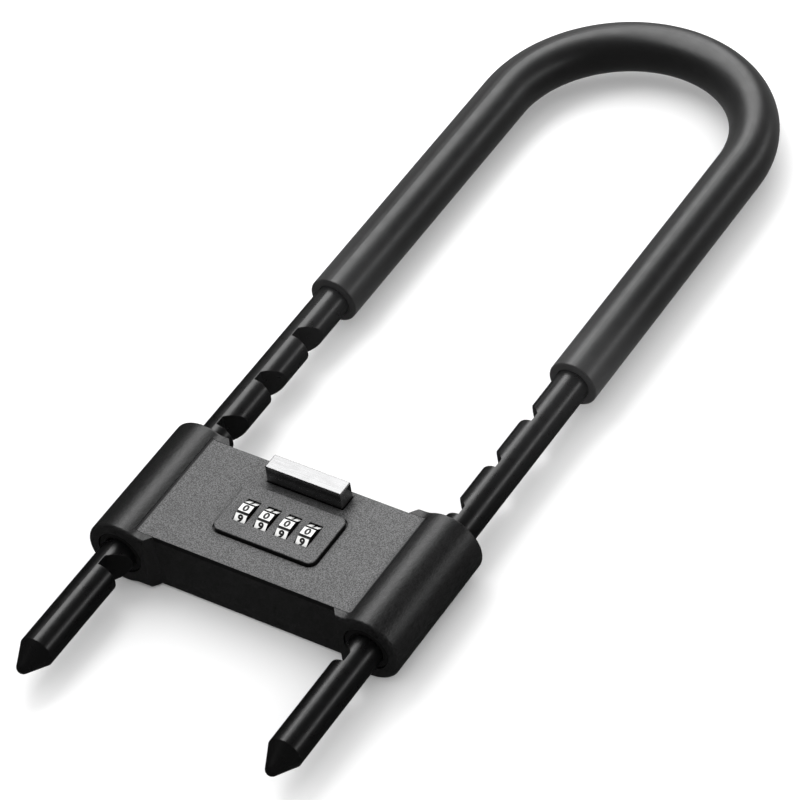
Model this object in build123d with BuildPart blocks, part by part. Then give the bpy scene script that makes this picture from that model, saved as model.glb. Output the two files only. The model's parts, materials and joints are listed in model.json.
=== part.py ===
"""Adjustable combination U-lock: a notched steel shackle through a flat lock body.

Millimetres. X runs across the two legs, Y along them towards the bend, and Z out of the
dial face. The origin is the middle of the lock body's flat back. The stored state is open:
code dialled, bar up, both bolts drawn clear of the legs.
"""

from build123d import *

import math
import os

os.makedirs("parts", exist_ok=True)

# ---------------------------------------------------------------- driving dimensions
# shackle
ROD_D = 13.0
LEG_SPACING = 100.4
LEG_END_Y = -88.4
BEND_Y = 235.0
TIP_ANGLE = 26.0
TIP_R = 2.5
SLEEVE_D = 19.0
SLEEVE_END_Y = 111.4
SLEEVE_EDGE_R = 0.6

# notches in the inner side of each leg: a square lower wall, a floor and a slanted wall
NOTCH_PITCH = 24.8
NOTCH_DEPTH = 6.2
NOTCH_FLOOR = 4.1
LOCK_Y = 9.8
NOTCHES_BELOW = 2
NOTCHES_ABOVE = 3

# lock body
BODY_T = 23.3
MIDDLE_L = 48.2
EAR_L = 55.3
EAR_CREST = 2.0
EAR_BACK = 1.1
EAR_IN = 0.2
EAR_BLEND_R = 8.0
EAR_EDGE_R = 1.0
LEG_RISE = 0.75
LIP_X = 36.7
LIP_FLARE = 2.7
PLATE_W = 88.2
PLATE_T = 2.2
COVER_W = 84.0
COVER_L = 42.0
COVER_T = 1.5
FLOOR_T = 2.5
SEAL_D = 17.6
SEAL_L = 4.0

# dials
DIAL_COUNT = 4
DIAL_PITCH = 8.4
DIAL_W = 4.6
DIAL_FLAT_R = 7.0
DIAL_X = -0.85
DIAL_Y = -0.7
DIAL_PROUD = 1.2
GROOVE_DEPTH = 0.6
FACET_GROOVE = 0.8
SPINDLE_D = 3.0
HUB_D = 7.0
FLANGE_D = 7.8
FLANGE_T = 1.0
HUB_FLAT = 3.3
PANEL_Y = -0.45
PANEL_W = 41.2
PANEL_L = 23.5
PANEL_T = 1.4
PANEL_CORNER_R = 2.8
PANEL_GROOVE_W = 0.7
PANEL_GROOVE_DEPTH = 0.7
BEZEL_RIM_L = 1.7
SLOT_W = 5.35
SLOT_SHIFT = 0.28
SLOT_L = 10.8

# bar, wedge and bolts
BAR_W = 31.0
BAR_L = 6.7
BAR_Y = 18.8
BAR_PROUD = 7.3
BAR_SUNK = 1.5
BAR_TRAVEL = 5.0
BAR_BEVEL = 0.3
WEDGE_HALF = 3.8
BAR_SCREW_WALL = 0.475
WEDGE_TOP_HALF = 14.5
WEDGE_L = 10.9
BOLT_H = 8.0
COMB_T = 0.7
COMB_CLEAR = 0.1
KEEPER_T = 2.0
SPRING_WIRE = 0.5

# clearances
ROD_GAP = 0.35
SEAL_GAP = 0.06
SLEEVE_GAP = 0.1
RUN_GAP = 0.05
SEAM = 0.12
BOLT_SIDE = 0.15
BOLT_TIP_IN = 0.45
BOLT_TIP_OUT = 0.4
NOTCH_GAP = 0.3
WEDGE_GAP = 0.25
DIAL_GAP = 0.24
BAR_GAP = 0.25
COMB_GAP = 0.1

# ---------------------------------------------------------------- worked-out places
ROD_R = ROD_D / 2
SLEEVE_R = SLEEVE_D / 2
LEG_X = LEG_SPACING / 2
LEG_Z = BODY_T / 2 + LEG_RISE
EAR_X = LEG_X - EAR_IN
EAR_R = (BODY_T + EAR_CREST + EAR_BACK) / 2
EAR_Z = BODY_T + EAR_CREST - EAR_R
PLATE_Z = BODY_T - PLATE_T
FLOOR_Z = COVER_T + FLOOR_T

BOLT_THROW = NOTCH_DEPTH - BOLT_TIP_OUT + BOLT_TIP_IN
WEDGE_SLOPE = BOLT_THROW / BAR_TRAVEL
BOLT_TIP_X = LEG_X - ROD_R - BOLT_TIP_IN
BOLT_Y0 = LOCK_Y + NOTCH_GAP
BOLT_NOSE = NOTCH_FLOOR - 2 * NOTCH_GAP
BOLT_Y1 = BOLT_Y0 + BOLT_NOSE + BOLT_THROW
BOLT_Z0 = LEG_Z - BOLT_H / 2
BOLT_Z1 = LEG_Z + BOLT_H / 2

WEDGE_Y0 = BOLT_Y0 + 0.2
WEDGE_Y1 = WEDGE_Y0 + WEDGE_L
WEDGE_Z = FLOOR_Z + BAR_TRAVEL + 0.2
COMB_Z1 = PLATE_Z - COMB_GAP
COMB_Z0 = COMB_Z1 - COMB_T
BAR_TOP = BODY_T + BAR_PROUD
BAR_FOOT = BODY_T - BAR_SUNK
POCKET_Y1 = WEDGE_Y1 + 0.4

PANEL_TOP = BODY_T + PANEL_T
DIAL_Z = PANEL_TOP + DIAL_PROUD - DIAL_FLAT_R
DIAL_R = DIAL_FLAT_R / math.cos(math.pi / 10)
DIAL_XS = [DIAL_X + DIAL_PITCH * (i - (DIAL_COUNT - 1) / 2) for i in range(DIAL_COUNT)]
DIAL_EDGE = max(abs(DIAL_XS[0]), abs(DIAL_XS[-1]))
HUB_START = -DIAL_W / 2 - 0.55
FLANGE_START = DIAL_W / 2 + 0.55
HUB_END = HUB_START + DIAL_PITCH - 0.2
COMB_Y0 = DIAL_Y + math.sqrt((FLANGE_D / 2) ** 2 - (COMB_Z0 - DIAL_Z) ** 2) + COMB_CLEAR
COMB_SPINE = DIAL_Y + DIAL_R + 0.34
CHEEK_X = DIAL_EDGE + HUB_END + 0.3
CHEEK_T = 1.5
WELL_X = CHEEK_X + CHEEK_T + 1.0
WELL_Y0 = DIAL_Y - DIAL_R - 1.2
WELL_Y1 = BOLT_Y0 - 0.5
OPENING_X = max(DIAL_EDGE + FLANGE_START + FLANGE_T + 1.2, DIAL_XS[-1] + HUB_END + 0.4)
OPENING_Y = DIAL_R + 0.64

CHANNEL_Y0 = BOLT_Y0 - BOLT_SIDE
CHANNEL_Y1 = BOLT_Y1 + BOLT_SIDE
CHANNEL_Z0 = BOLT_Z0 - 0.1
KEEPER_Z = BOLT_Z1 + 0.15
KEEPER_X0 = WELL_X + 0.3
KEEPER_X1 = LEG_X - ROD_R - 5.6
KEEPER_Y0 = CHANNEL_Y0 - 5.4
KEEPER_SCREW_Y = CHANNEL_Y0 - 2.8

LUG_X = WELL_X - 1.0
LUG_T = 2.0
LUG_H = 4.6
GROOVE_Y = (BOLT_Y0 + BOLT_Y1) / 2
GROOVE_W = 4.4
GROOVE_X1 = KEEPER_X1 - 1.5

COVER_SCREWS = [(sx * (COVER_W / 2 - 3.2), sy * (COVER_L / 2 - 3.0)) for sx in (-1, 1) for sy in (-1, 1)]
PLATE_SCREWS = [(sx * 33.0, y) for sx in (-1, 1) for y in (-18.0, 0.0)]
FRAME_SCREWS = [(sx * 9.0, DIAL_Y + 4.2) for sx in (-1, 1)]
DETENT_RIVETS = [(sx * 8.0, DIAL_Y - 4.3) for sx in (-1, 1)]
BAR_SCREW_X = WEDGE_HALF + WEDGE_SLOPE * (COMB_Z0 - 5.6 - WEDGE_Z) - 2.2 - BAR_SCREW_WALL
BAR_SCREWS = [(sx * BAR_SCREW_X, BAR_Y) for sx in (-1, 1)]
COMB_RIVETS = [(sx * 5.0, WEDGE_Y0 + 1.9) for sx in (-1, 1)]
KEEPER_SCREWS = [
    (sx * x, KEEPER_SCREW_Y)
    for sx in (-1, 1)
    for x in (KEEPER_X0 + 2.8, KEEPER_X1 - 3.0)
]


def write(part, name):
    """Label a finished piece and write its STEP file."""
    part.label = name
    export_step(part, f"parts/{name}.step")


def box(x0, x1, y0, y1, z0, z1, mode=Mode.ADD):
    """A block between two corners, in the part being built."""
    with Locations(((x0 + x1) / 2, (y0 + y1) / 2, (z0 + z1) / 2)):
        Box(x1 - x0, y1 - y0, z1 - z0, mode=mode)


def along_y(x, z, y0, y1, radius, mode=Mode.ADD):
    """A round bar or bore along Y."""
    with Locations(Plane(origin=(x, y0, z), z_dir=(0, 1, 0))):
        Cylinder(radius, y1 - y0, align=(Align.CENTER, Align.CENTER, Align.MIN), mode=mode)


def along_z(points, z0, z1, radius, mode=Mode.ADD):
    """Round bars or bores along Z at several points."""
    with Locations(*[(x, y, z0) for x, y in points]):
        Cylinder(radius, z1 - z0, align=(Align.CENTER, Align.CENTER, Align.MIN), mode=mode)


def screws(name, points, head_r, head_z, seat_z, shank_r, end_z):
    """Pan-head screws in one node; each stands from its head to its end along Z."""
    with BuildPart() as group:
        along_z(points, min(head_z, seat_z), max(head_z, seat_z), head_r)
        along_z(points, min(seat_z, end_z), max(seat_z, end_z), shank_r)
        socket = head_z + math.copysign(abs(seat_z - head_z) * 0.55, seat_z - head_z)
        low = min(head_z, socket)
        with BuildSketch(Plane.XY.offset(low)):
            with Locations(*points):
                RegularPolygon(head_r * 0.5, 6)
        extrude(amount=abs(socket - head_z), mode=Mode.SUBTRACT)
    write(group.part, name)


def coil_spring(name, start, direction, length, radius, turns):
    """A helical spring of round wire along one direction."""
    wire = SPRING_WIRE / 2
    begin = Vector(*start) + Vector(*direction) * wire
    travel = length - 2 * wire
    with BuildPart() as spring:
        with BuildLine():
            coil = Helix(travel / turns, travel, radius, center=begin, direction=direction)
        with BuildSketch(Plane(origin=coil @ 0, z_dir=coil % 0)):
            Circle(wire)
        sweep(path=coil, is_frenet=True)
    write(spring.part, name)


# ---------------------------------------------------------------- shackle
def leg_path(end_y):
    """The U-shaped centre line, from one leg's end round the bend to the other's."""
    Line((-LEG_X, end_y), (-LEG_X, BEND_Y))
    ThreePointArc((-LEG_X, BEND_Y), (0, BEND_Y + LEG_X), (LEG_X, BEND_Y))
    Line((LEG_X, BEND_Y), (LEG_X, end_y))


tip_slope = math.radians(TIP_ANGLE)
TIP_TANGENT_R = TIP_R * math.cos(tip_slope)
TIP_TANGENT_Y = LEG_END_Y + TIP_R - TIP_R * math.sin(tip_slope)
SHOULDER_Y = TIP_TANGENT_Y + (ROD_R - TIP_TANGENT_R) / math.tan(tip_slope)

with BuildPart() as shackle:
    with BuildLine(Plane.XY.offset(LEG_Z)) as rod_line:
        leg_path(SHOULDER_Y)
    with BuildSketch(Plane(origin=(-LEG_X, SHOULDER_Y, LEG_Z), z_dir=(0, 1, 0))):
        Circle(ROD_R)
    sweep(path=rod_line.line)
    for side in (-1, 1):
        with BuildSketch(Plane.XY.offset(LEG_Z)):
            with BuildLine():
                axis_x = side * LEG_X
                Polyline(
                    (axis_x, LEG_END_Y),
                    (axis_x, SHOULDER_Y),
                    (axis_x + ROD_R, SHOULDER_Y),
                    (axis_x + TIP_TANGENT_R, TIP_TANGENT_Y),
                )
                mid = math.radians(45 - TIP_ANGLE / 2)
                ThreePointArc(
                    (axis_x + TIP_TANGENT_R, TIP_TANGENT_Y),
                    (axis_x + TIP_R * math.sin(mid), LEG_END_Y + TIP_R - TIP_R * math.cos(mid)),
                    (axis_x, LEG_END_Y),
                )
            make_face()
        revolve(axis=Axis((axis_x, 0, LEG_Z), (0, 1, 0)))
        for step in range(-NOTCHES_BELOW, NOTCHES_ABOVE + 1):
            wall_y = LOCK_Y + step * NOTCH_PITCH
            run = NOTCH_DEPTH + 2
            floor_x = side * (LEG_X - ROD_R + NOTCH_DEPTH)
            open_x = floor_x - side * run
            with BuildSketch(Plane.XY.offset(LEG_Z)):
                with BuildLine():
                    Polyline(
                        (floor_x, wall_y),
                        (floor_x, wall_y + NOTCH_FLOOR),
                        (open_x, wall_y + NOTCH_FLOOR + run),
                        (open_x, wall_y),
                        close=True,
                    )
                make_face()
            extrude(amount=ROD_R + 1, both=True, mode=Mode.SUBTRACT)
write(shackle.part, "shackle")

with BuildPart() as sleeve:
    with BuildLine(Plane.XY.offset(LEG_Z)) as sleeve_line:
        leg_path(SLEEVE_END_Y)
    with BuildSketch(Plane(origin=(-LEG_X, SLEEVE_END_Y, LEG_Z), z_dir=(0, 1, 0))):
        Circle(SLEEVE_R)
        Circle(ROD_R + SLEEVE_GAP, mode=Mode.SUBTRACT)
    sweep(path=sleeve_line.line)
    rims = sleeve.edges().filter_by(GeomType.CIRCLE).group_by(Axis.Y)[0]
    fillet(rims.filter_by(lambda e: abs(e.radius - SLEEVE_R) < 0.01), SLEEVE_EDGE_R)
write(sleeve.part, "shackle_sleeve")

# ---------------------------------------------------------------- lock body
def ear_blend(level, turn):
    """The start, middle and end of the hollow that joins a flat to an ear; turn is 1 on the face."""
    rise = abs(level - EAR_Z) + EAR_BLEND_R
    reach = math.sqrt((EAR_R + EAR_BLEND_R) ** 2 - rise**2)
    share = EAR_R / (EAR_R + EAR_BLEND_R)
    centre_x, centre_z = EAR_X - reach, level + turn * EAR_BLEND_R
    half_turn = math.atan2(reach, rise) / 2
    middle_x = centre_x + EAR_BLEND_R * math.sin(half_turn)
    middle_z = centre_z - turn * EAR_BLEND_R * math.cos(half_turn)
    return (centre_x, level), (middle_x, middle_z), (EAR_X - reach * share, EAR_Z + turn * rise * share)


def body_section(length, mode=Mode.ADD):
    """A length of the body's section: a flat middle that rises into a round ear at each side."""
    with BuildSketch(Plane.XZ.offset(-length / 2)) as section:
        with BuildLine():
            face, back = ear_blend(BODY_T, 1), ear_blend(0, -1)
            for side in (-1, 1):
                top, bottom = ([(side * x, z) for x, z in points] for points in (face, back))
                Line((0, BODY_T), top[0])
                ThreePointArc(*top)
                ThreePointArc(top[2], (side * (EAR_X + EAR_R), EAR_Z), bottom[2])
                ThreePointArc(*bottom)
                Line(bottom[0], (0, 0))
        make_face()
    extrude(section.sketch, amount=length, mode=mode)


with BuildPart() as housing:
    body_section(EAR_L)
    fillet(housing.faces().filter_by(Axis.Y).edges(), EAR_EDGE_R)
    for end in (-1, 1):
        with BuildSketch():
            with BuildLine():
                Polyline(
                    (-LIP_X, end * MIDDLE_L / 2),
                    (LIP_X, end * MIDDLE_L / 2),
                    (LIP_X + LIP_FLARE + 0.75, end * (EAR_L / 2 + 1)),
                    (-LIP_X - LIP_FLARE - 0.75, end * (EAR_L / 2 + 1)),
                    close=True,
                )
            make_face()
        extrude(amount=BODY_T, mode=Mode.SUBTRACT)
    for side in (-1, 1):
        along_y(side * LEG_X, LEG_Z, -EAR_L / 2, EAR_L / 2, ROD_R + ROD_GAP, Mode.SUBTRACT)
        along_y(side * LEG_X, LEG_Z, -EAR_L / 2, -EAR_L / 2 + SEAL_L, SEAL_D / 2, Mode.SUBTRACT)
        along_y(side * LEG_X, LEG_Z, EAR_L / 2 - SEAL_L, EAR_L / 2, SEAL_D / 2, Mode.SUBTRACT)
    half_w = PLATE_W / 2 + SEAM
    half_l = MIDDLE_L / 2 + SEAM
    box(-half_w, half_w, -half_l, half_l, PLATE_Z, BODY_T + EAR_R, Mode.SUBTRACT)
    box(-COVER_W / 2, COVER_W / 2, -COVER_L / 2, COVER_L / 2, -1, COVER_T, Mode.SUBTRACT)
    box(-WELL_X, WELL_X, WELL_Y0, WELL_Y1, FLOOR_Z, PLATE_Z, Mode.SUBTRACT)
    box(-WELL_X, WELL_X, WELL_Y1, POCKET_Y1, FLOOR_Z, PLATE_Z, Mode.SUBTRACT)
    half_x = BAR_W / 2 + BAR_GAP
    half_y = BAR_L / 2 + BAR_GAP
    pressed_z = BAR_FOOT - BAR_TRAVEL - BAR_GAP
    box(-half_x, half_x, BAR_Y - half_y, BAR_Y + half_y, pressed_z, PLATE_Z, Mode.SUBTRACT)
    for side in (-1, 1):
        xs = sorted((side * (WELL_X - 1), side * LEG_X))
        box(*xs, CHANNEL_Y0, CHANNEL_Y1, CHANNEL_Z0, KEEPER_Z, Mode.SUBTRACT)
        xs = sorted((side * (WELL_X - 1), side * (KEEPER_X1 + 0.15)))
        box(*xs, KEEPER_Y0 - 0.15, POCKET_Y1, KEEPER_Z, PLATE_Z, Mode.SUBTRACT)
        xs = sorted((side * (WELL_X - 2), side * GROOVE_X1))
        groove_z = BOLT_Z0 - LUG_H - 0.3
        box(*xs, GROOVE_Y - GROOVE_W / 2, GROOVE_Y + GROOVE_W / 2, groove_z, BOLT_Z0, Mode.SUBTRACT)
    along_z(PLATE_SCREWS, COVER_T, COVER_T + 3.2, 3.0, Mode.SUBTRACT)
    along_z(PLATE_SCREWS, COVER_T, PLATE_Z, 1.7, Mode.SUBTRACT)
    along_z(COVER_SCREWS, COVER_T, COVER_T + 6.2, 1.5, Mode.SUBTRACT)
    along_z(FRAME_SCREWS, COVER_T + 0.5, FLOOR_Z, 1.3, Mode.SUBTRACT)
    along_z(KEEPER_SCREWS, KEEPER_Z - 5.5, KEEPER_Z, 1.3, Mode.SUBTRACT)
write(housing.part, "lock_housing")

with BuildPart() as plate:
    body_section(MIDDLE_L)
    half_x = PLATE_W / 2
    box(-half_x, half_x, -MIDDLE_L / 2, MIDDLE_L / 2, PLATE_Z, BODY_T + EAR_R, Mode.INTERSECT)
    with BuildSketch(Plane.XY.offset(BODY_T)):
        with Locations((0, PANEL_Y)):
            wide = 2 * PANEL_GROOVE_W
            RectangleRounded(PANEL_W + wide, PANEL_L + wide, PANEL_CORNER_R + PANEL_GROOVE_W)
            RectangleRounded(PANEL_W, PANEL_L, PANEL_CORNER_R, mode=Mode.SUBTRACT)
    extrude(amount=-PANEL_GROOVE_DEPTH, mode=Mode.SUBTRACT)
    half_x = OPENING_X
    box(-half_x, half_x, DIAL_Y - OPENING_Y, DIAL_Y + OPENING_Y, PLATE_Z, BODY_T, Mode.SUBTRACT)
    half_x = BAR_W / 2 + BAR_GAP
    half_y = BAR_L / 2 + BAR_GAP
    box(-half_x, half_x, BAR_Y - half_y, BAR_Y + half_y, PLATE_Z, BODY_T, Mode.SUBTRACT)
    along_z(PLATE_SCREWS, PLATE_Z, PLATE_Z + 1.5, 1.55, Mode.SUBTRACT)
write(plate.part, "front_plate")

with BuildPart() as bezel:
    with BuildSketch(Plane.XY.offset(BODY_T)):
        with Locations((0, PANEL_Y)):
            RectangleRounded(PANEL_W, PANEL_L, PANEL_CORNER_R)
    extrude(amount=PANEL_T)
    chamfer(bezel.faces().sort_by(Axis.Z)[-1].edges(), 0.2)
    half_x = OPENING_X - SEAM
    half_y = OPENING_Y - SEAM
    box(-half_x, half_x, DIAL_Y - half_y, DIAL_Y + half_y, BODY_T - BEZEL_RIM_L, BODY_T)
    half_x = half_x - 0.7
    half_y = DIAL_R - 0.15
    box(-half_x, half_x, DIAL_Y - half_y, DIAL_Y + half_y, PLATE_Z, BODY_T, Mode.SUBTRACT)
    for x in DIAL_XS:
        with Locations(Location((x, DIAL_Y, DIAL_Z), (0, 90, 0))):
            Cylinder(DIAL_R + DIAL_GAP, DIAL_W + 2 * DIAL_GAP, mode=Mode.SUBTRACT)
        half_x = SLOT_W / 2
        half_y = SLOT_L / 2
        xs = (x + SLOT_SHIFT - half_x, x + SLOT_SHIFT + half_x)
        box(*xs, DIAL_Y - half_y, DIAL_Y + half_y, BODY_T, PANEL_TOP, Mode.SUBTRACT)
write(bezel.part, "dial_bezel")

with BuildPart() as cover:
    half_w = COVER_W / 2 - SEAM
    half_l = COVER_L / 2 - SEAM
    box(-half_w, half_w, -half_l, half_l, 0, COVER_T - 0.05)
    along_z(COVER_SCREWS, 0, COVER_T, 1.7, Mode.SUBTRACT)
    along_z(COVER_SCREWS, 0, 0.9, 2.9, Mode.SUBTRACT)
write(cover.part, "rear_cover")

screws("rear_cover_screws", COVER_SCREWS, 2.7, 0.1, 0.85, 1.4, COVER_T + 6.0)
screws("front_plate_screws", PLATE_SCREWS, 2.75, COVER_T + 0.3, COVER_T + 3.15, 1.45, PLATE_Z + 1.4)

for side, side_name in ((-1, "left"), (1, "right")):
    for end, end_name in ((-1, "lower"), (1, "upper")):
        mouth = end * (EAR_L / 2 - 0.3)
        inner = end * (EAR_L / 2 - SEAL_L + 0.05)
        with BuildPart() as seal:
            along_y(side * LEG_X, LEG_Z, min(mouth, inner), max(mouth, inner), SEAL_D / 2 - 0.05)
            outer_rim = seal.edges().filter_by(GeomType.CIRCLE).sort_by(Axis.Y)[-1 if end > 0 else 0]
            fillet(outer_rim, 0.5)
            along_y(side * LEG_X, LEG_Z, min(mouth, inner), max(mouth, inner), ROD_R + SEAL_GAP, Mode.SUBTRACT)
        write(seal.part, f"{side_name}_{end_name}_seal")

# ---------------------------------------------------------------- dials
with BuildPart() as frame:
    half_x = CHEEK_X + CHEEK_T
    box(-half_x, half_x, DIAL_Y - 6.2, DIAL_Y + 7.0, FLOOR_Z, FLOOR_Z + 1.5)
    for side in (-1, 1):
        xs = sorted((side * CHEEK_X, side * (CHEEK_X + CHEEK_T)))
        box(*xs, DIAL_Y - 4.5, DIAL_Y + 4.5, FLOOR_Z, PLATE_Z - 0.1)
    uprights = frame.edges().filter_by(Axis.X).group_by(Axis.Z)[-1]
    fillet(uprights, 2.0)
    with Locations(Location((0, DIAL_Y, DIAL_Z), (0, 90, 0))):
        Cylinder(SPINDLE_D / 2 + 0.03, 2 * half_x, mode=Mode.SUBTRACT)
    along_z(FRAME_SCREWS, FLOOR_Z, FLOOR_Z + 1.5, 1.35, Mode.SUBTRACT)
    along_z(DETENT_RIVETS, FLOOR_Z, FLOOR_Z + 1.5, 0.85, Mode.SUBTRACT)
write(frame.part, "dial_frame")

screws("dial_frame_screws", FRAME_SCREWS, 2.1, FLOOR_Z + 2.7, FLOOR_Z + 1.5, 1.2, COVER_T + 0.7)

with BuildPart() as spindle:
    with Locations(Location((0, DIAL_Y, DIAL_Z), (0, 90, 0))):
        Cylinder(SPINDLE_D / 2, 2 * (CHEEK_X + CHEEK_T) + 0.8)
    chamfer(spindle.edges().filter_by(GeomType.CIRCLE), 0.3)
write(spindle.part, "dial_spindle")

coil_spring(
    "spindle_spring",
    (-CHEEK_X, DIAL_Y, DIAL_Z),
    (1, 0, 0),
    CHEEK_X + DIAL_XS[0] + HUB_START - 0.05,
    SPINDLE_D / 2 + SPRING_WIRE / 2 + 0.25,
    3,
)

with BuildPart() as detent:
    leaf = 0.4
    base_z = FLOOR_Z + 1.5
    tip_z = DIAL_Z - DIAL_R - DIAL_GAP
    with BuildSketch(Plane.YZ.offset(DIAL_XS[0] - DIAL_W / 2)):
        with BuildLine():
            Polyline(
                (DIAL_Y - 3.0, base_z),
                (DIAL_Y - 6.2, base_z),
                (DIAL_Y - 6.9, base_z + 2.0),
                (DIAL_Y - 0.8, tip_z),
                (DIAL_Y + 1.2, tip_z - 0.9),
                (DIAL_Y + 1.2, tip_z - 0.9 - leaf * 1.2),
                (DIAL_Y - 0.8, tip_z - leaf * 1.2),
                (DIAL_Y - 6.3, base_z + 1.7),
                (DIAL_Y - 5.9, base_z + leaf),
                (DIAL_Y - 3.0, base_z + leaf),
                close=True,
            )
        make_face()
    extrude(amount=DIAL_XS[-1] - DIAL_XS[0] + DIAL_W)
    for x in DIAL_XS[:-1]:
        gap_x0 = x + DIAL_W / 2
        gap_x1 = x + DIAL_PITCH - DIAL_W / 2
        box(gap_x0, gap_x1, DIAL_Y - 6.2, DIAL_Y + 2, base_z + 2 * leaf, tip_z + 1, Mode.SUBTRACT)
        box(gap_x0, gap_x1, DIAL_Y - 8, DIAL_Y - 6.2, base_z + 4 * leaf, tip_z + 1, Mode.SUBTRACT)
    along_z(DETENT_RIVETS, base_z, base_z + 1, 0.85, Mode.SUBTRACT)
write(detent.part, "detent_spring")

with BuildPart() as rivets:
    along_z(DETENT_RIVETS, FLOOR_Z + 0.1, base_z + leaf, 0.8)
    along_z(DETENT_RIVETS, base_z + leaf, base_z + leaf + 0.5, 1.4)
write(rivets.part, "detent_rivets")


def dial_ring(number, x):
    """A ten-sided number ring; grooves part its faces and a key slot holds the hub."""
    with BuildPart() as ring:
        with BuildSketch(Plane.YZ.offset(x - DIAL_W / 2)):
            with Locations((DIAL_Y, DIAL_Z)):
                RegularPolygon(DIAL_R, 10)
                Circle(HUB_D / 2 + RUN_GAP, mode=Mode.SUBTRACT)
                with PolarLocations(DIAL_R, 10):
                    Rectangle(2 * GROOVE_DEPTH, FACET_GROOVE, mode=Mode.SUBTRACT)
            with Locations((DIAL_Y, DIAL_Z - HUB_D / 2)):
                Rectangle(1.3, 1.7, mode=Mode.SUBTRACT)
        extrude(amount=DIAL_W)
    write(ring.part, f"dial_ring_{number}")


def dial_hub(number, x):
    """The code sleeve inside a ring: a key, a flange with one flat, and a spacer."""
    with BuildPart() as hub:
        with BuildSketch(Plane.YZ.offset(x + HUB_START)):
            with Locations((DIAL_Y, DIAL_Z)):
                Circle(HUB_D / 2)
            with Locations((DIAL_Y, DIAL_Z - HUB_D / 2)):
                Rectangle(1.1, 1.3)
        extrude(amount=FLANGE_START - HUB_START)
        with BuildSketch(Plane.YZ.offset(x + FLANGE_START)):
            with Locations((DIAL_Y, DIAL_Z)):
                Circle(FLANGE_D / 2)
            with Locations((DIAL_Y + HUB_FLAT + 1, DIAL_Z)):
                Rectangle(2, FLANGE_D, mode=Mode.SUBTRACT)
        extrude(amount=FLANGE_T)
        with BuildSketch(Plane.YZ.offset(x + FLANGE_START + FLANGE_T)):
            with Locations((DIAL_Y, DIAL_Z)):
                Circle(HUB_D / 3)
        extrude(amount=HUB_END - FLANGE_START - FLANGE_T)
        with Locations(Location((x, DIAL_Y, DIAL_Z), (0, 90, 0))):
            Cylinder(SPINDLE_D / 2 + RUN_GAP, 4 * DIAL_PITCH, mode=Mode.SUBTRACT)
    write(hub.part, f"dial_hub_{number}")


for number, dial_x in enumerate(DIAL_XS, 1):
    dial_ring(number, dial_x)
    dial_hub(number, dial_x)

# ---------------------------------------------------------------- bar and wedge
with BuildPart() as bar:
    half_x = BAR_W / 2
    half_y = BAR_L / 2
    box(-half_x, half_x, BAR_Y - half_y, BAR_Y + half_y, BAR_FOOT, BAR_TOP)
    chamfer(bar.faces().sort_by(Axis.Z)[-1].edges(), BAR_BEVEL)
    chamfer(bar.edges().filter_by(Axis.Z), BAR_BEVEL)
    along_z(BAR_SCREWS, BAR_FOOT, BAR_FOOT + 5.6, 1.3, Mode.SUBTRACT)
write(bar.part, "lock_bar")


def wedge_x(z):
    """Half the wedge's width at a height."""
    return WEDGE_HALF + WEDGE_SLOPE * (z - WEDGE_Z)


WEDGE_FULL_Z = WEDGE_Z + (WEDGE_TOP_HALF - WEDGE_HALF) / WEDGE_SLOPE

with BuildPart() as wedge:
    with BuildSketch(Plane.XZ.offset(-WEDGE_Y0)):
        with BuildLine():
            Polyline(
                (-WEDGE_HALF, WEDGE_Z),
                (WEDGE_HALF, WEDGE_Z),
                (WEDGE_TOP_HALF, WEDGE_FULL_Z),
                (WEDGE_TOP_HALF, COMB_Z0),
                (-WEDGE_TOP_HALF, COMB_Z0),
                (-WEDGE_TOP_HALF, WEDGE_FULL_Z),
                close=True,
            )
        make_face()
    extrude(amount=-WEDGE_L)
    step_y0 = BAR_Y - BAR_L / 2 + 0.35
    step_y1 = BAR_Y + BAR_L / 2 - 0.35
    box(1.5 - WEDGE_TOP_HALF, WEDGE_TOP_HALF - 1.5, step_y0, min(step_y1, WEDGE_Y1), COMB_Z0, BAR_FOOT)
    along_z([(0, GROOVE_Y)], WEDGE_Z, WEDGE_Z + 9.8, 2.4, Mode.SUBTRACT)
    along_z(BAR_SCREWS, WEDGE_Z, COMB_Z0 - 4.0, 2.4, Mode.SUBTRACT)
    along_z(BAR_SCREWS, WEDGE_Z, BAR_FOOT, 1.35, Mode.SUBTRACT)
    along_z(COMB_RIVETS, COMB_Z0 - 3.1, COMB_Z0, 1.0, Mode.SUBTRACT)
write(wedge.part, "wedge_driver")

screws("bar_screws", BAR_SCREWS, 2.2, COMB_Z0 - 5.6, COMB_Z0 - 4.05, 1.2, BAR_FOOT + 5.4)

with BuildPart() as comb:
    spine_x = DIAL_XS[-1] + FLANGE_START + FLANGE_T + 0.5
    box(-spine_x, spine_x, COMB_SPINE, BOLT_Y0 - 0.4, COMB_Z0, COMB_Z1)
    box(-9, 9, BOLT_Y0 - 0.4, step_y0 - 0.6, COMB_Z0, COMB_Z1)
    for x in DIAL_XS:
        finger_x = x + FLANGE_START + FLANGE_T / 2
        box(finger_x - 0.8, finger_x + 0.8, COMB_Y0, COMB_SPINE, COMB_Z0, COMB_Z1)
    along_z(COMB_RIVETS, COMB_Z0, COMB_Z1, 1.0, Mode.SUBTRACT)
write(comb.part, "locking_comb")

with BuildPart() as comb_rivets:
    along_z(COMB_RIVETS, COMB_Z0 - 3.0, COMB_Z1, 0.95)
write(comb_rivets.part, "comb_rivets")

coil_spring("bar_spring", (0, GROOVE_Y, FLOOR_Z), (0, 0, 1), WEDGE_Z + 9.75 - FLOOR_Z, 1.8, 9)


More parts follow.
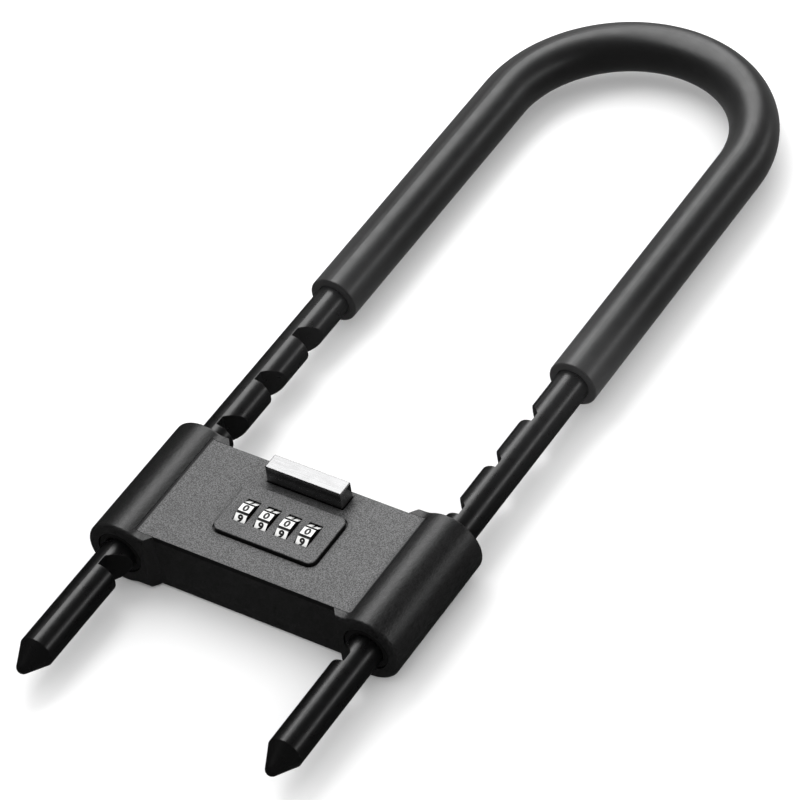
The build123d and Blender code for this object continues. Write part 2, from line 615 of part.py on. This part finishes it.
# ---------------------------------------------------------------- bolts
def bolt(side, name):
    """A sliding bolt: slanted nose for the notch, slanted tail for the wedge, spring lug."""
    with BuildPart() as body:
        with BuildSketch(Plane.XZ.offset(-BOLT_Y0)):
            with BuildLine():
                Polyline(
                    (side * (wedge_x(BOLT_Z0) + WEDGE_GAP), BOLT_Z0),
                    (side * BOLT_TIP_X, BOLT_Z0),
                    (side * BOLT_TIP_X, BOLT_Z1),
                    (side * (wedge_x(BOLT_Z1) + WEDGE_GAP), BOLT_Z1),
                    close=True,
                )
            make_face()
        extrude(amount=BOLT_Y0 - BOLT_Y1)
        with BuildSketch(Plane.XY.offset(BOLT_Z0)):
            with BuildLine():
                Polyline(
                    (side * BOLT_TIP_X, BOLT_Y0 + BOLT_NOSE),
                    (side * BOLT_TIP_X, BOLT_Y1),
                    (side * (BOLT_TIP_X - BOLT_THROW), BOLT_Y1),
                    close=True,
                )
            make_face()
        extrude(amount=BOLT_H, mode=Mode.SUBTRACT)
        xs = sorted((side * LUG_X, side * (LUG_X + LUG_T)))
        box(*xs, GROOVE_Y - 1.9, GROOVE_Y + 1.9, BOLT_Z0 - LUG_H, BOLT_Z0)
    write(body.part, name)


def bolt_keeper(side, name):
    """The steel strap that closes a bolt's channel."""
    xs = sorted((side * KEEPER_X0, side * KEEPER_X1))
    with BuildPart() as keeper:
        box(*xs, KEEPER_Y0, POCKET_Y1 - 0.15, KEEPER_Z, KEEPER_Z + KEEPER_T)
        here = [point for point in KEEPER_SCREWS if point[0] * side > 0]
        along_z(here, KEEPER_Z, KEEPER_Z + KEEPER_T, 1.35, Mode.SUBTRACT)
    write(keeper.part, name)


for side, side_name in ((-1, "left"), (1, "right")):
    bolt(side, f"{side_name}_bolt")
    bolt_keeper(side, f"{side_name}_bolt_keeper")
    spring_from = LUG_X + LUG_T
    coil_spring(
        f"{side_name}_bolt_spring",
        (side * spring_from, GROOVE_Y, BOLT_Z0 - 2.5),
        (side, 0, 0),
        GROOVE_X1 - spring_from,
        1.5,
        8,
    )

screws(
    "keeper_screws", KEEPER_SCREWS, 2.2, KEEPER_Z + KEEPER_T + 1.3, KEEPER_Z + KEEPER_T, 1.2, KEEPER_Z - 5.2
)
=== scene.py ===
"""Looks for the combination U-lock: finishes, dial figures, floor, light and camera."""

import bpy
import json
import math
from mathutils import Matrix, Vector


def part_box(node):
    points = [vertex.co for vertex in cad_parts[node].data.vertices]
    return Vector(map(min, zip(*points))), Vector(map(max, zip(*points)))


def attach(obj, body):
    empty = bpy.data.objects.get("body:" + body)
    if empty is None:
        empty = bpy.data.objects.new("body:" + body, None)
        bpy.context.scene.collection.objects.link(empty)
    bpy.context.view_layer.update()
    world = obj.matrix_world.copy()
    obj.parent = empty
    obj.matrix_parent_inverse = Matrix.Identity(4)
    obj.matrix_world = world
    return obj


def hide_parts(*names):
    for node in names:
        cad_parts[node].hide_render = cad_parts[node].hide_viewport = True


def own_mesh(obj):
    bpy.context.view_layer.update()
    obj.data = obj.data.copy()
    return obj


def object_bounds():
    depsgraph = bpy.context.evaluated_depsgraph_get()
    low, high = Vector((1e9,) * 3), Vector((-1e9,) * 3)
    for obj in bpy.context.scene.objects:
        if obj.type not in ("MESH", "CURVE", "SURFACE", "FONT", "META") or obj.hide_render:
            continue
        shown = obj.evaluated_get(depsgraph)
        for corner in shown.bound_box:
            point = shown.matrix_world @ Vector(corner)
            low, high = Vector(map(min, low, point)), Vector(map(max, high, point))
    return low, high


MM = 0.001
SCENE = bpy.context.scene

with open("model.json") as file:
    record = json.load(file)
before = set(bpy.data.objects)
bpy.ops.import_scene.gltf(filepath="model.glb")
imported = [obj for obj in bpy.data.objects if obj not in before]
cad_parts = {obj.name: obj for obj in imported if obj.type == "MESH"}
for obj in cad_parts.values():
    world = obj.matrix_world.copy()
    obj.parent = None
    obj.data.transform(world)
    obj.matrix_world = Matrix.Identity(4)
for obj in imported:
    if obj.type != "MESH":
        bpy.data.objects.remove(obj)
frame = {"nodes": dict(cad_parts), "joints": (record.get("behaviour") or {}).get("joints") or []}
cad_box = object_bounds()
nodes = frame["nodes"]
joints = {j["name"]: j for j in frame["joints"]}


# ---------------------------------------------------------------- node helpers
# painted shade where pieces stand close: how far it reaches and how dark it goes
PAINTED_SHADE_REACH = 4.5 * MM
PAINTED_SHADE_SHARE = 0.85


def shaded(colour, factor):
    """A colour made darker or paler by a factor."""
    return tuple(c * factor for c in colour)


class Finish:
    """A node-built surface finish around one Principled shader."""

    def __init__(self, name, colour, roughness, metallic=0.0, specular=0.5):
        self.mat = bpy.data.materials.new(name)
        self.mat.use_nodes = True
        self.tree = self.mat.node_tree
        self.shader = self.tree.nodes["Principled BSDF"]
        self.shader.inputs["Base Color"].default_value = (*colour, 1)
        self.shader.inputs["Roughness"].default_value = roughness
        self.shader.inputs["Metallic"].default_value = metallic
        self.shader.inputs["Specular IOR Level"].default_value = specular
        self.colour = colour
        self.roughness = roughness
        self.place = self.add("ShaderNodeTexCoord").outputs["Object"]

    def add(self, kind, **settings):
        """A node of one kind with its properties set."""
        node = self.tree.nodes.new(kind)
        for key, value in settings.items():
            setattr(node, key, value)
        return node

    def wire(self, out, into):
        """Joins an output to an input."""
        self.tree.links.new(out, into)

    def math(self, op, a, b=0.0):
        """One sum on two numbers or sockets."""
        node = self.add("ShaderNodeMath", operation=op)
        for k, value in enumerate((a, b)):
            if isinstance(value, (int, float)):
                node.inputs[k].default_value = value
            else:
                self.wire(value, node.inputs[k])
        return node.outputs[0]

    def scaled(self, x=1.0, y=1.0, z=1.0):
        """The object's own coordinates, stretched."""
        node = self.add("ShaderNodeMapping")
        node.inputs["Scale"].default_value = (x, y, z)
        self.wire(self.place, node.inputs["Vector"])
        return node.outputs[0]

    def noise(self, size, detail=3.0, rough=0.55, where=None):
        """Noise whose lumps are about size across, in metres."""
        node = self.add("ShaderNodeTexNoise")
        node.inputs["Scale"].default_value = 1 / size
        node.inputs["Detail"].default_value = detail
        node.inputs["Roughness"].default_value = rough
        self.wire(where or self.place, node.inputs["Vector"])
        return node.outputs["Fac"]

    def between(self, value, low, high, into_low=0.0, into_high=1.0):
        """A value's range stretched onto another, clamped."""
        node = self.add("ShaderNodeMapRange")
        ends = {"From Min": low, "From Max": high, "To Min": into_low, "To Max": into_high}
        for key, number in ends.items():
            node.inputs[key].default_value = number
        self.wire(value, node.inputs["Value"])
        return node.outputs[0]

    def blend(self, share, a, b):
        """A colour between two, by a share from 0 to 1."""
        node = self.add("ShaderNodeMix", data_type="RGBA")
        self.wire(share, node.inputs["Factor"])
        for key, value in (("A", a), ("B", b)):
            socket = [s for s in node.inputs if s.name == key and s.type == "RGBA"][0]
            if isinstance(value, tuple):
                socket.default_value = (*value, 1)
            else:
                self.wire(value, socket)
        return [s for s in node.outputs if s.type == "RGBA"][0]

    def vary_colour(self, share, other):
        """The colour so far drifts towards another by a share."""
        links = self.shader.inputs["Base Color"].links
        now = links[0].from_socket if links else self.colour
        self.wire(self.blend(share, now, other), self.shader.inputs["Base Color"])

    def drift(self, value, low, high, share, other):
        """The colour drifts towards another as a value goes from low to high, up to a share."""
        self.vary_colour(self.between(value, low, high, 0.0, share), other)

    def vary_roughness(self, value, spread):
        """The roughness swings either way by a noise value."""
        low, high = self.roughness - spread, self.roughness + spread
        self.wire(self.between(value, 0.3, 0.7, low, high), self.shader.inputs["Roughness"])

    def relief(self, value, depth, strength):
        """Bump of one depth in metres, on top of the relief so far."""
        links = self.shader.inputs["Normal"].links
        node = self.add("ShaderNodeBump")
        node.inputs["Strength"].default_value = strength
        node.inputs["Distance"].default_value = depth
        self.wire(value, node.inputs["Height"])
        if links:
            self.wire(links[0].from_socket, node.inputs["Normal"])
        self.wire(node.outputs[0], self.shader.inputs["Normal"])

    def split(self, vector):
        """The coordinates of a vector, by letter."""
        node = self.add("ShaderNodeSeparateXYZ")
        self.wire(vector, node.inputs[0])
        return node.outputs

    def axis(self, letter, low, high, into_low=0.0, into_high=1.0):
        """How far along one of the object's own axes a point lies, from low to high."""
        return self.between(self.split(self.place)[letter], low, high, into_low, into_high)

    def facing(self, letter, low, high):
        """How far the surface faces along one of the object's own axes, as a share."""
        normal = self.add("ShaderNodeTexCoord").outputs["Normal"]
        return self.between(self.split(normal)[letter], low, high)

    def crevices(self, dark):
        """Painted shade: the colour so far goes dark where other pieces stand close by."""
        hidden = self.add("ShaderNodeAmbientOcclusion", samples=8)
        hidden.inputs["Distance"].default_value = PAINTED_SHADE_REACH
        self.drift(hidden.outputs["AO"], 0.97, 0.55, PAINTED_SHADE_SHARE, dark)

    def soft_edges(self, radius):
        """Edges catch the light as if broken to a radius; gives back where the edges are."""
        bevel = self.add("ShaderNodeBevel", samples=4)
        bevel.inputs["Radius"].default_value = radius
        plain = self.add("ShaderNodeNewGeometry").outputs["Normal"]
        dot = self.add("ShaderNodeVectorMath", operation="DOT_PRODUCT")
        self.wire(bevel.outputs[0], dot.inputs[0])
        self.wire(plain, dot.inputs[1])
        self.wire(bevel.outputs[0], self.shader.inputs["Normal"])
        return self.between(dot.outputs["Value"], 0.995, 0.86)


GRAINED_EDGE = 0.25 * MM
GRAINED_WEAR = 0.25
SEAM_FROM = 0.9 * MM  # the dark seam line starts this far in from the rim
SEAM_FULL = 0.6 * MM  # and is full from here outwards


def grained(name, colour, light, roughness, specular, grain, depth, shade_and_seam=None, rim=None):
    """A blasted and painted metal skin: speckle, pits, faint clouding, rubbed edges, orange peel.

    With wall, faces turned away from Z and places where pieces stand close take that colour as
    painted shade. With rim as well, so do the last strips before X = -rim and X = rim, as a dark
    seam line.
    """
    f = Finish(name, colour, roughness, specular=specular)
    edges = f.soft_edges(GRAINED_EDGE)
    speck = f.noise(grain, detail=1.5, rough=0.6)
    clouds = f.noise(18 * MM, detail=4.0)
    f.drift(speck, 0.36, 0.64, 1.0, light)
    pits = f.noise(grain * 0.6, detail=2.0, rough=0.8)
    f.drift(pits, 0.56, 0.66, 0.4, shaded(colour, 0.5))
    f.drift(clouds, 0.35, 0.75, 0.18, shaded(colour, 0.6))
    patches = f.between(f.noise(2.5 * MM), 0.42, 0.62, 0.0, GRAINED_WEAR)
    rubbed = tuple(min(1.0, c * 2.0 + 0.02) for c in light)
    f.vary_colour(f.math("MULTIPLY", edges, patches), rubbed)
    if shade_and_seam:
        # painted shade: faces turned away from Z go dark, as side walls that fall out of the light
        f.vary_colour(f.facing("Z", 0.80, 0.55), shade_and_seam)
        f.crevices(shade_and_seam)
    if rim:
        for side in (1, -1):
            seam = f.axis("X", side * (rim - SEAM_FROM), side * (rim - SEAM_FULL))
            f.vary_colour(seam, shade_and_seam)
    f.vary_roughness(f.noise(1.2 * MM), 0.05)
    f.relief(speck, depth, 0.8)
    f.relief(f.noise(1.5 * MM, detail=1.0), depth * 1.5, 0.25)
    return f.mat


# where along Y the rod's painted light starts
ROD_PAINTED_LIGHT_START = 30 * MM


def rod_skin(name):
    """Black baked enamel on round bar: long draw lines, light peel, scuffs along the travel.

    It goes paler from ROD_PAINTED_LIGHT_START to the sleeve's ends, as painted light where the rod
    is lit more.
    """
    f = Finish(name, (0.0022, 0.0022, 0.0023), 0.30, specular=0.85)
    edges = f.soft_edges(0.35 * MM)
    drawn = f.noise(0.7 * MM, detail=3.0, where=f.scaled(1, 0.02, 1))
    scuffs = f.noise(0.5 * MM, detail=2.0, rough=0.7, where=f.scaled(1, 0.05, 1))
    f.drift(scuffs, 0.58, 0.74, 0.4, (0.009, 0.009, 0.0095))
    # painted light: paler towards the sleeve, where the rod's upper part is lit more
    painted_light_near_sleeve = f.axis("Y", ROD_PAINTED_LIGHT_START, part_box("shackle_sleeve")[0].y)
    f.vary_colour(painted_light_near_sleeve, (0.014, 0.014, 0.0143))
    patches = f.between(f.noise(3 * MM), 0.40, 0.60, 0.15, 0.6)
    f.vary_colour(f.math("MULTIPLY", edges, patches), (0.06, 0.06, 0.062))
    f.vary_roughness(f.noise(4 * MM, detail=4.0), 0.04)
    f.relief(drawn, 0.004 * MM, 0.35)
    f.relief(f.noise(0.9 * MM, detail=2.0), 0.005 * MM, 0.5)
    return f.mat


# how far from the sleeve's ends its painted light reaches
SLEEVE_PAINTED_LIGHT_REACH = 45 * MM
SLEEVE_PAINTED_LIGHT_LEFT = 0.45  # share of the painted light at the -X side, where the +X side has all of it


def sleeve_skin(name):
    """Satin dip-moulded sleeve: fine matt grain, faint flow lines, and paler towards its ends as
    painted light.
    """
    f = Finish(name, (0.0040, 0.0040, 0.0042), 0.39, specular=0.9)
    low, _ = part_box("shackle_sleeve")
    # painted light: paler towards the sleeve's ends, more so on the +X leg, where the light catches
    # them
    ends = f.axis("Y", low.y + SLEEVE_PAINTED_LIGHT_REACH, low.y)
    side = f.axis("X", low.x, -low.x, SLEEVE_PAINTED_LIGHT_LEFT, 1.0)
    f.vary_colour(f.math("MULTIPLY", ends, side), (0.034, 0.034, 0.0345))
    clouds = f.noise(22 * MM, detail=5.0)
    f.drift(clouds, 0.40, 0.72, 0.35, (0.008, 0.008, 0.0083))
    grain = f.noise(0.35 * MM, detail=2.0, rough=0.65)
    f.drift(grain, 0.55, 0.75, 0.3, (0.012, 0.012, 0.012))
    f.vary_roughness(f.noise(5 * MM, detail=4.0), 0.04)
    f.relief(grain, 0.008 * MM, 0.5)
    f.relief(f.noise(3.0 * MM, detail=2.0, where=f.scaled(1, 0.15, 1)), 0.02 * MM, 0.3)
    f.shader.inputs["Sheen Weight"].default_value = 0.12
    f.shader.inputs["Sheen Roughness"].default_value = 0.45
    return f.mat


def bright_metal(name, colour, roughness, line=0.25 * MM, tarnish=0.15):
    """Bare or plated metal with brushing along X and a little tarnish."""
    f = Finish(name, colour, roughness, metallic=1.0)
    f.soft_edges(0.2 * MM)
    brushed = f.noise(line, detail=3.0, rough=0.7, where=f.scaled(0.02, 1, 1))
    clouds = f.noise(6 * MM, detail=4.0)
    f.drift(brushed, 0.45, 0.75, 0.3, shaded(colour, 0.8))
    f.drift(clouds, 0.45, 0.75, tarnish, shaded(colour, 0.55))
    f.vary_roughness(brushed, min(0.06, roughness * 0.4))
    f.relief(brushed, 0.003 * MM, 0.4)
    return f.mat


def rubber(name, colour):
    """Dull black rubber with a fine skin and pale dust in patches."""
    f = Finish(name, colour, 0.62, specular=0.35)
    f.soft_edges(0.2 * MM)
    grain = f.noise(0.3 * MM, detail=2.0, rough=0.7)
    f.drift(f.noise(3 * MM, detail=4.0), 0.5, 0.75, 0.35, shaded(colour, 2.5))
    f.vary_roughness(grain, 0.06)
    f.relief(grain, 0.01 * MM, 0.6)
    return f.mat


FACETS = 10
FACET_TURN = math.tau / FACETS
NEAR_BAND = (-0.205, -0.225)  # radians from a facet's middle where its dark end starts, is full


def dial_skin(name, axis_point, facet_r, side_x):
    """White enamel on a ring's facets. Its grooves, its ends and each facet's near end are dark."""
    dark = (0.006, 0.006, 0.006)
    f = Finish(name, (0.86, 0.86, 0.85), 0.32, specular=0.5)
    f.soft_edges(0.15 * MM)
    shift = f.add("ShaderNodeVectorMath", operation="SUBTRACT")
    f.wire(f.place, shift.inputs[0])
    shift.inputs[1].default_value = axis_point
    off_axis = f.split(shift.outputs[0])
    squares = [f.math("MULTIPLY", off_axis[k], off_axis[k]) for k in "YZ"]
    radius = f.math("SQRT", f.math("ADD", *squares))
    off_facet = f.between(radius, facet_r - 0.06 * MM, facet_r - 0.16 * MM)
    angle = f.math("ARCTAN2", off_axis["Y"], off_axis["Z"])
    facet = f.math("ROUND", f.math("DIVIDE", angle, FACET_TURN))
    in_facet = f.math("SUBTRACT", angle, f.math("MULTIPLY", facet, FACET_TURN))
    near_end = f.between(in_facet, *NEAR_BAND)
    across = f.math("ABSOLUTE", off_axis["X"])
    at_end = f.between(across, side_x - 0.06 * MM, side_x - 0.02 * MM)
    f.drift(f.noise(0.8 * MM, detail=3.0), 0.5, 0.8, 0.35, (0.62, 0.62, 0.61))
    for share in (off_facet, near_end, at_end):
        f.vary_colour(share, dark)
    f.vary_roughness(f.noise(1.5 * MM), 0.05)
    f.relief(f.noise(0.35 * MM), 0.006 * MM, 0.4)
    return f.mat


def painted_figure(name):
    """Black filled paint of the dial figures."""
    f = Finish(name, (0.01, 0.01, 0.01), 0.45, specular=0.5)
    f.drift(f.noise(0.25 * MM), 0.5, 0.75, 0.4, (0.035, 0.035, 0.035))
    f.vary_roughness(f.noise(0.4 * MM), 0.06)
    f.relief(f.noise(0.2 * MM), 0.004 * MM, 0.4)
    return f.mat


# ---------------------------------------------------------------- finishes of the CAD nodes
# dark colour for painted shade on side faces and where pieces stand close, and for the plate's seam
# lines
SHADE_AND_SEAM_DARK = (0.004, 0.004, 0.004)
body_black = grained(
    "body_black", (0.001, 0.001, 0.001), (0.018, 0.018, 0.0183),
    roughness=0.33, specular=0.7, grain=0.38 * MM, depth=0.11 * MM,
)
# Painted highlight: the grey of plate and panel stands for the key light's sheen on black paint
# like the body's.
plate_grey = grained(
    "plate_grey", (0.028, 0.028, 0.0285), (0.158, 0.158, 0.160),
    roughness=0.46, specular=0.5, grain=0.38 * MM, depth=0.03 * MM,
    shade_and_seam=SHADE_AND_SEAM_DARK, rim=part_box("front_plate")[1].x,
)
panel_grey = grained(
    "panel_grey", (0.027, 0.027, 0.0275), (0.152, 0.152, 0.154),
    roughness=0.46, specular=0.5, grain=0.42 * MM, depth=0.03 * MM, shade_and_seam=SHADE_AND_SEAM_DARK,
)
cover_black = grained(
    "cover_black", (0.012, 0.012, 0.0125), (0.04, 0.04, 0.041),
    roughness=0.45, specular=0.6, grain=0.36 * MM, depth=0.02 * MM,
)
steel = bright_metal("steel", (0.42, 0.42, 0.43), 0.32)
spring_steel = bright_metal("spring_steel", (0.30, 0.30, 0.31), 0.28, line=0.1 * MM)
brass = bright_metal("brass", (0.55, 0.38, 0.14), 0.30)
chrome = bright_metal("bar_chrome", (0.32, 0.32, 0.322), 0.22, line=0.16 * MM, tarnish=0.2)
screw_black = bright_metal("screw_black", (0.05, 0.05, 0.052), 0.38, tarnish=0.3)
seal_rubber = rubber("seal_rubber", (0.006, 0.006, 0.006))

FINISHES = {
    "lock_housing": body_black,
    "front_plate": plate_grey,
    "dial_bezel": panel_grey,
    "rear_cover": cover_black,
    "rear_cover_screws": screw_black,
    "front_plate_screws": screw_black,
    "shackle": rod_skin("rod_black"),
    "shackle_sleeve": sleeve_skin("sleeve_rubber"),
    "lock_bar": chrome,
    "locking_comb": spring_steel,
}
for name in nodes:
    if name.endswith("_seal"):
        FINISHES[name] = seal_rubber
    elif name.endswith("_spring"):
        FINISHES[name] = spring_steel
    elif name.startswith("dial_hub") or name.endswith("_rivets"):
        FINISHES[name] = brass
    elif name.startswith("dial_ring"):
        low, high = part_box(name)
        turn = joints[name.replace("ring_", "") + "_turn"]
        axis_point = turn["pos_m"]
        facet_r = high.z - axis_point[2]
        FINISHES[name] = dial_skin(name + "_skin", axis_point, facet_r, (high.x - low.x) / 2)
    elif name not in FINISHES:
        FINISHES[name] = steel
for name, mat in FINISHES.items():
    for slot in nodes[name].material_slots:
        slot.material = mat


# ---------------------------------------------------------------- dial figures
FIGURE_HEIGHT = 3.0 * MM
FIGURE_SPREAD = 3.3075 * MM  # the width of a figure whose outline is as wide as it is tall
FIGURE_SHIFT = 0.2 * MM  # up the facet
FIGURE_THICK = 0.06 * MM
FIGURE_SUNK = 0.01 * MM
FIGURE_BOLD = 0.045
figure_paint = painted_figure("figure_paint")


def figure_mesh(digit):
    """One figure as a thin slab: X across it, Y up it, centred, standing on Z = 0."""
    text = bpy.data.curves.new(f"figure_{digit}", "FONT")
    text.body = str(digit)
    text.size = 1.0
    text.offset = FIGURE_BOLD
    text.extrude = 0.5
    text.resolution_u = 6
    holder = bpy.data.objects.new(f"figure_{digit}", text)
    SCENE.collection.objects.link(holder)
    bpy.context.view_layer.update()
    graph = bpy.context.evaluated_depsgraph_get()
    mesh = bpy.data.meshes.new_from_object(holder.evaluated_get(graph))
    bpy.data.objects.remove(holder)
    xs = [v.co.x for v in mesh.vertices]
    ys = [v.co.y for v in mesh.vertices]
    foot = Vector(((min(xs) + max(xs)) / 2, (min(ys) + max(ys)) / 2, -text.extrude))
    height = max(ys) - min(ys)
    scale = Vector((FIGURE_SPREAD / height, FIGURE_HEIGHT / height, FIGURE_THICK))
    for v in mesh.vertices:
        v.co = (v.co - foot) * scale
    return mesh


figures = [figure_mesh(digit) for digit in range(FACETS)]
for number in range(1, 5):
    ring = f"dial_ring_{number}"
    low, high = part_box(ring)
    axis = Vector(joints[f"dial_{number}_turn"]["pos_m"])
    facet_r = high.z - axis.z
    lift = Matrix.Translation((0, FIGURE_SHIFT, facet_r - FIGURE_SUNK))
    verts, faces = [], []
    for step in range(FACETS):
        source = figures[(FACETS - step) % FACETS]
        turn = Matrix.Rotation(FACET_TURN * step, 4, "X")
        place = Matrix.Translation(axis) @ turn @ lift
        start = len(verts)
        verts += [place @ v.co for v in source.vertices]
        faces += [[start + k for k in p.vertices] for p in source.polygons]
    mesh = bpy.data.meshes.new(f"dial_{number}_figures")
    mesh.from_pydata([tuple(v) for v in verts], [], faces)
    mesh.materials.append(figure_paint)
    piece = bpy.data.objects.new(f"dial_{number}_figures", mesh)
    SCENE.collection.objects.link(piece)
    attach(piece, f"dial_{number}")


# ---------------------------------------------------------------- spring stand-ins
def live_spring(node, fixed_end):
    """A stand-in for a coil spring: a copy of it on the lock body, in place of the hidden CAD part,
    that keeps its fixed end.
    """
    low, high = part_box(node)
    piece = bpy.data.objects.new(node + "_coil", nodes[node].data.copy())
    SCENE.collection.objects.link(piece)
    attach(piece, "lock_body")
    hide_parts(node)
    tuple(fixed_end(low, high))
    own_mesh(piece)


live_spring("bar_spring", lambda low, high: low)
live_spring("left_bolt_spring", lambda low, high: low)
live_spring("right_bolt_spring", lambda low, high: high)

# ---------------------------------------------------------------- floor
FLOOR_HALF = 8.0
FLOOR_GAP = 0.1 * MM
floor_z = cad_box[0].z - FLOOR_GAP
floor_mesh = bpy.data.meshes.new("floor")
signs = ((-1, -1), (1, -1), (1, 1), (-1, 1))
corners = [(x * FLOOR_HALF, y * FLOOR_HALF, floor_z) for x, y in signs]
floor_mesh.from_pydata(corners, [], [(0, 1, 2, 3)])
floor = bpy.data.objects.new("floor", floor_mesh)
SCENE.collection.objects.link(floor)
pale = Finish("floor_pale", (0.93, 0.93, 0.93), 0.9, specular=0.1)
pale.drift(pale.noise(0.4, detail=2.0), 0.4, 0.7, 1.0, (0.915, 0.915, 0.915))
floor_mesh.materials.append(pale.mat)
floor.visible_glossy = False


# ---------------------------------------------------------------- light
def softbox(name, centre, aim, width, length, radiance):
    """A soft panel whose length lies as near along Y as its aim lets it."""
    light = bpy.data.lights.new(name, "AREA")
    light.shape = "RECTANGLE"
    light.size = width
    light.size_y = length
    light.energy = radiance * math.pi * width * length
    lamp = bpy.data.objects.new(name, light)
    SCENE.collection.objects.link(lamp)
    back = (Vector(centre) - Vector(aim)).normalized()
    across = Vector((0, 1, 0)).cross(back).normalized()
    up = back.cross(across)
    facing = Matrix((across, up, back)).transposed().to_4x4()
    lamp.matrix_world = Matrix.Translation(centre) @ facing
    lamp.visible_camera = False


softbox("key", (-0.20, 0.40, 0.45), (0.0, 0.10, 0.0), 0.26, 0.95, 3.2)
softbox("side", (0.75, 0.60, 0.34), (0.0, 0.05, 0.0), 0.16, 1.2, 1.8)
softbox("rim", (-0.62, 0.85, 0.10), (-0.05, 0.20, 0.01), 0.30, 0.50, 0.35)

SKY = 1.12  # strength of the white surroundings
SKY_IN_GLOSS = 0.025  # the same as seen by reflections, so that black parts stay black

world = bpy.data.worlds.new("studio")
SCENE.world = world
world.use_nodes = True
tree = world.node_tree
soft = tree.nodes["Background"]
dim = tree.nodes.new("ShaderNodeBackground")
for background, strength in ((soft, SKY), (dim, SKY_IN_GLOSS)):
    background.inputs["Color"].default_value = (1, 1, 1, 1)
    background.inputs["Strength"].default_value = strength
ray = tree.nodes.new("ShaderNodeLightPath")
pick = tree.nodes.new("ShaderNodeMixShader")
tree.links.new(ray.outputs["Is Glossy Ray"], pick.inputs[0])
tree.links.new(soft.outputs[0], pick.inputs[1])
tree.links.new(dim.outputs[0], pick.inputs[2])
tree.links.new(pick.outputs[0], tree.nodes["World Output"].inputs["Surface"])

# ---------------------------------------------------------------- camera
AZIMUTH = math.radians(37.38)
ELEVATION = math.radians(44.47)
ROLL = math.radians(8.37)
DISTANCE = 1.4948
TARGET = Vector((-0.0012, 0.0782, 0.0124))
LENS = 190.1
SENSOR = 36.0

camera_data = bpy.data.cameras.new("camera")
camera_data.lens = LENS
camera_data.sensor_width = SENSOR
camera_data.clip_start = 0.05
camera = bpy.data.objects.new("camera", camera_data)
SCENE.collection.objects.link(camera)
flat = math.cos(ELEVATION)
back = Vector((math.sin(AZIMUTH) * flat, -math.cos(AZIMUTH) * flat, math.sin(ELEVATION)))
level = Vector((math.cos(AZIMUTH), math.sin(AZIMUTH), 0))
upright = back.cross(level)
right = math.cos(ROLL) * level - math.sin(ROLL) * upright
up = back.cross(right)
facing = Matrix((right, up, back)).transposed().to_4x4()
camera.matrix_world = Matrix.Translation(TARGET + back * DISTANCE) @ facing
SCENE.camera = camera
SCENE.view_settings.view_transform = "Standard"
